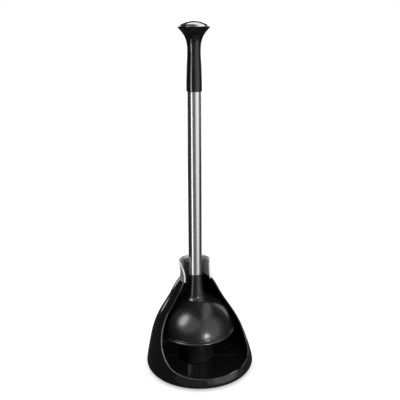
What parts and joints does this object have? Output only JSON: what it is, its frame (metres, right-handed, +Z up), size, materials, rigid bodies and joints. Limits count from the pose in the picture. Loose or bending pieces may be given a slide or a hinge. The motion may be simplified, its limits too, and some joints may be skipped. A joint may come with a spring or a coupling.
{
  "type": "toilet plunger with caddy",
  "caption": "Toilet plunger with a steel rod, trumpet grip and rubber cup, standing in a gloss black open-fronted caddy with a metal neck collar.",
  "frame": {"origin": "centre of the caddy's base, on the floor", "axes": "+Z up along the rod, -Y towards the caddy's open front, +X to the right seen from the front"},
  "size_m": [0.1796, 0.1798, 0.5645],
  "materials": {
    "gloss_black": "high gloss moulded ABS",
    "black_moulding": "semi-gloss moulding",
    "grip_black": "gloss moulding",
    "bell_rubber": "semi-gloss natural rubber",
    "foot_rubber": "matt rubber",
    "satin_metal": "satin",
    "satin_steel": "satin, drawn lengthwise",
    "polished_steel": "polished",
    "bright_steel": "zinc plated",
    "plug_metal": "turned",
    "magnet_metal": "nickel plated"
  },
  "bodies": {
    "caddy": {"caddy_shell": "gloss_black", "floor_pan": "gloss_black", "rubber_feet": "foot_rubber", "collar": "satin_metal", "collar_cradle": "black_moulding", "collar_magnets": "magnet_metal", "collar_screws": "bright_steel"},
    "plunger": {"rubber_bell": "bell_rubber", "bell_flange": "bell_rubber", "bell_washer": "bright_steel", "bell_bolt": "bright_steel", "coupling": "black_moulding", "lower_plug": "plug_metal", "rod_tube": "satin_steel", "upper_plug": "plug_metal", "grip": "grip_black", "grip_washer": "bright_steel", "grip_screw": "bright_steel", "knob_cap": "polished_steel"}
  },
  "joints": [
    {"name": "plunger_lift", "type": "slide", "parent": "caddy", "child": "plunger", "axis": [0, -0.9703, 0.2419], "range_m": [0, 0.185]}
  ]
}
